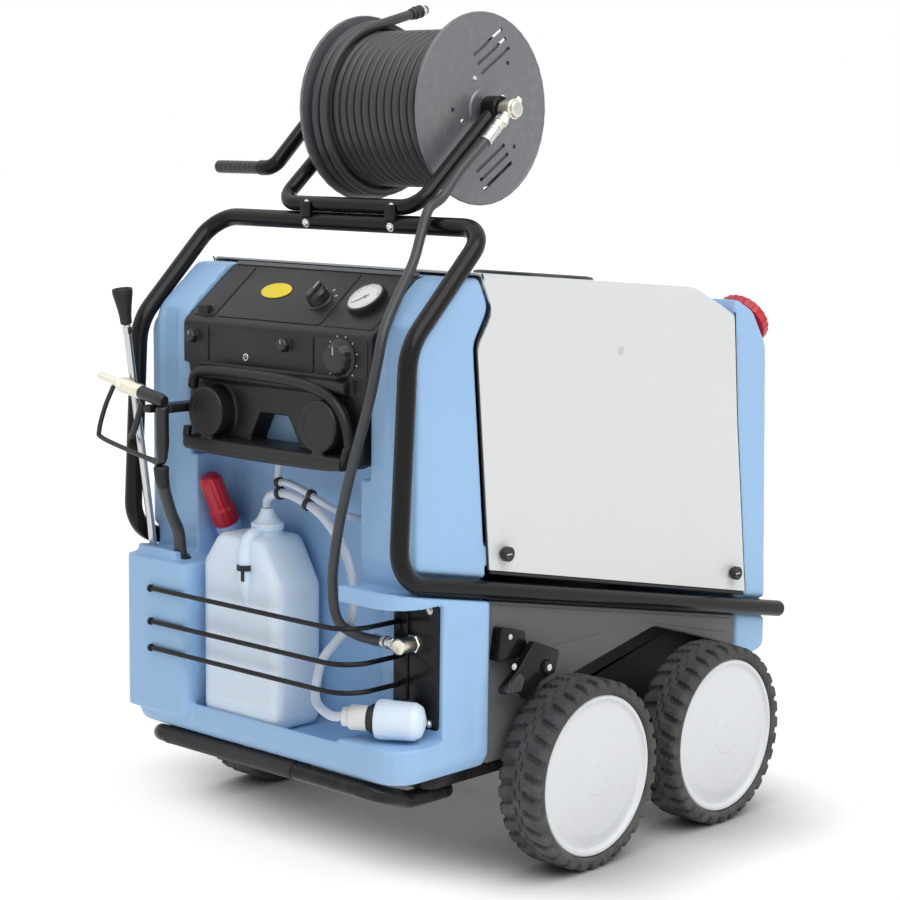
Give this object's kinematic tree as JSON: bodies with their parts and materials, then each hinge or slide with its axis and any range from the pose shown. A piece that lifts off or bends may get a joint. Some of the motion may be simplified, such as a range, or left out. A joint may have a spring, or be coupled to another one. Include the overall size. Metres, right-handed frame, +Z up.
{
  "type": "hot-water pressure washer",
  "caption": "Wheeled cleaning machine with a moulded body, sheet hood, push frame, control console, wound hose reel with crank, spray gun, lance and detergent canister.",
  "frame": {"origin": "on the floor, below the centre of the machine's bounding box", "axes": "+Z up; -Y is the operator's end with the console and the canister; +X is the side with the brake pedal"},
  "size_m": [0.8, 1.0524, 1.3757],
  "materials": {
    "chassis_steel": "satin black",
    "blue_body": "satin moulded blue",
    "white_sheet": "satin white",
    "dark_panel": "matt black",
    "console_plastic": "matt dark grey",
    "knob_plastic": "satin black",
    "tyre_rubber": "matt black",
    "hose_rubber": "satin dark grey",
    "wheel_plastic": "satin light grey",
    "bright_steel": "brushed",
    "brass": "satin",
    "reel_sheet": "satin dark grey",
    "red_plastic": "satin red",
    "milky_plastic": "milky, slightly clear",
    "dial_plastic": "gloss white"
  },
  "bodies": {
    "machine": {"chassis_tray": "chassis_steel", "front_body": "blue_body", "rear_body": "blue_body", "hood": "white_sheet", "exhaust_ring": "chassis_steel", "side_panel_left": "dark_panel", "side_panel_right": "dark_panel", "handle_frame": "chassis_steel", "foot_bar": "chassis_steel", "front_axle": "bright_steel", "rear_axle": "bright_steel", "console": "console_plastic", "pressure_gauge": "dial_plastic", "reel_stand": "chassis_steel", "hose_swivel": "brass", "feed_hose": "hose_rubber", "coupling_plate": "chassis_steel", "outlet_nipple": "bright_steel", "filter_head": "knob_plastic", "guard_rod_top": "chassis_steel", "guard_rod_middle": "chassis_steel", "guard_rod_bottom": "chassis_steel", "suction_hose": "milky_plastic", "canister": "milky_plastic", "boiler": "bright_steel", "motor_pump": "dark_panel"},
    "reel": {"reel_drum": "reel_sheet", "reel_flange_near": "reel_sheet", "reel_flange_far": "reel_sheet", "hose_winding": "hose_rubber", "hose_end_fitting": "bright_steel", "crank_arm": "chassis_steel"},
    "crank_handle": {"crank_grip": "hose_rubber"},
    "gun": {"spray_gun": "brass", "gun_handle": "knob_plastic", "gun_hose": "hose_rubber"},
    "trigger": {"gun_trigger": "knob_plastic"},
    "lance": {"spray_lance": "bright_steel", "lance_nozzle": "hose_rubber"},
    "main_switch_knob": {"main_switch": "knob_plastic"},
    "temperature_selector": {"temperature_knob": "knob_plastic"},
    "dosing_selector": {"dosing_knob": "knob_plastic"},
    "burner_selector": {"burner_switch": "knob_plastic"},
    "brake": {"brake_pedal": "chassis_steel"},
    "front_filler": {"filler_cap": "red_plastic"},
    "rear_filler": {"rear_cap": "red_plastic"},
    "canister_lid": {"canister_cap": "knob_plastic"},
    "filter_bowl": {"filter_cup": "milky_plastic"},
    "wheel_front_right": {"tyre_front_right": "tyre_rubber", "wheel_disc_front_right": "wheel_plastic"},
    "wheel_front_left": {"tyre_front_left": "tyre_rubber", "wheel_disc_front_left": "wheel_plastic"},
    "wheel_rear_right": {"tyre_rear_right": "tyre_rubber", "wheel_disc_rear_right": "wheel_plastic"},
    "wheel_rear_left": {"tyre_rear_left": "tyre_rubber", "wheel_disc_rear_left": "wheel_plastic"},
    "hood_lock_front_right": {"hood_knob_front_right": "knob_plastic"},
    "hood_lock_rear_right": {"hood_knob_rear_right": "knob_plastic"},
    "hood_lock_front_left": {"hood_knob_front_left": "knob_plastic"},
    "hood_lock_rear_left": {"hood_knob_rear_left": "knob_plastic"}
  },
  "joints": [
    {"name": "wheel_front_right_spin", "type": "hinge", "parent": "machine", "child": "wheel_front_right", "pos_m": [0.357, -0.09943, 0.153], "axis": [1, 0, 0], "continuous": true},
    {"name": "wheel_front_left_spin", "type": "hinge", "parent": "machine", "child": "wheel_front_left", "pos_m": [-0.357, -0.09943, 0.153], "axis": [1, 0, 0], "continuous": true},
    {"name": "wheel_rear_right_spin", "type": "hinge", "parent": "machine", "child": "wheel_rear_right", "pos_m": [0.357, 0.24657, 0.153], "axis": [1, 0, 0], "continuous": true},
    {"name": "wheel_rear_left_spin", "type": "hinge", "parent": "machine", "child": "wheel_rear_left", "pos_m": [-0.357, 0.24657, 0.153], "axis": [1, 0, 0], "continuous": true},
    {"name": "reel_spin", "type": "hinge", "parent": "machine", "child": "reel", "pos_m": [0, -0.10043, 1.2], "axis": [1, 0, 0], "continuous": true},
    {"name": "crank_handle_spin", "type": "hinge", "parent": "reel", "child": "crank_handle", "pos_m": [-0.33, -0.20543, 1.10001], "axis": [1, 0, 0], "continuous": true},
    {"name": "gun_lift", "type": "slide", "parent": "machine", "child": "gun", "axis": [0, -0.1458, 0.9893], "range_m": [0, 0.06]},
    {"name": "trigger_pull", "type": "hinge", "parent": "gun", "child": "trigger", "pos_m": [-0.226, -0.50943, 0.73], "axis": [0, -1, 0], "range_deg": [0, 20], "stiffness_Nm_per_rad": 0.6, "springref_deg": -17.19},
    {"name": "lance_lift", "type": "slide", "parent": "machine", "child": "lance", "axis": [0.0039, -0.1458, 0.9893], "range_m": [0, 0.16]},
    {"name": "main_switch_turn", "type": "hinge", "parent": "machine", "child": "main_switch_knob", "pos_m": [0.052, -0.38168, 0.8994], "axis": [0, -0.6247, 0.7809], "range_deg": [0, 120]},
    {"name": "temperature_turn", "type": "hinge", "parent": "machine", "child": "temperature_selector", "pos_m": [0.152, -0.43343, 0.822], "axis": [0, -1, 0], "range_deg": [0, 270]},
    {"name": "dosing_turn", "type": "hinge", "parent": "machine", "child": "dosing_selector", "pos_m": [0.03, -0.43343, 0.834], "axis": [0, -1, 0], "range_deg": [0, 270]},
    {"name": "burner_turn", "type": "hinge", "parent": "machine", "child": "burner_selector", "pos_m": [-0.186, -0.43343, 0.834], "axis": [0, -1, 0], "range_deg": [0, 90]},
    {"name": "brake_press", "type": "hinge", "parent": "machine", "child": "brake", "pos_m": [0.322, -0.15843, 0.33], "axis": [1, 0, 0], "range_deg": [0, 6]},
    {"name": "front_filler_turn", "type": "hinge", "parent": "machine", "child": "front_filler", "pos_m": [-0.16, -0.38843, 0.528], "axis": [0, -0.4434, 0.8963], "continuous": true},
    {"name": "rear_filler_turn", "type": "hinge", "parent": "machine", "child": "rear_filler", "pos_m": [0.252, 0.44457, 0.831], "axis": [0, 0.8279, 0.5608], "continuous": true},
    {"name": "canister_lid_turn", "type": "hinge", "parent": "machine", "child": "canister_lid", "pos_m": [-0.03, -0.41843, 0.5355], "axis": [0, 0, 1], "continuous": true},
    {"name": "filter_bowl_turn", "type": "hinge", "parent": "machine", "child": "filter_bowl", "pos_m": [0.188, -0.46243, 0.279], "axis": [0.88, 0.475, 0], "continuous": true},
    {"name": "hood_lock_front_right_turn", "type": "hinge", "parent": "machine", "child": "hood_lock_front_right", "pos_m": [0.306, -0.23443, 0.518], "axis": [1, 0, 0], "range_deg": [0, 90]},
    {"name": "hood_lock_rear_right_turn", "type": "hinge", "parent": "machine", "child": "hood_lock_rear_right", "pos_m": [0.306, 0.37357, 0.405], "axis": [1, 0, 0], "range_deg": [0, 90]},
    {"name": "hood_lock_front_left_turn", "type": "hinge", "parent": "machine", "child": "hood_lock_front_left", "pos_m": [-0.306, -0.23443, 0.518], "axis": [-1, 0, 0], "range_deg": [0, 90]},
    {"name": "hood_lock_rear_left_turn", "type": "hinge", "parent": "machine", "child": "hood_lock_rear_left", "pos_m": [-0.306, 0.37357, 0.405], "axis": [-1, 0, 0], "range_deg": [0, 90]}
  ]
}
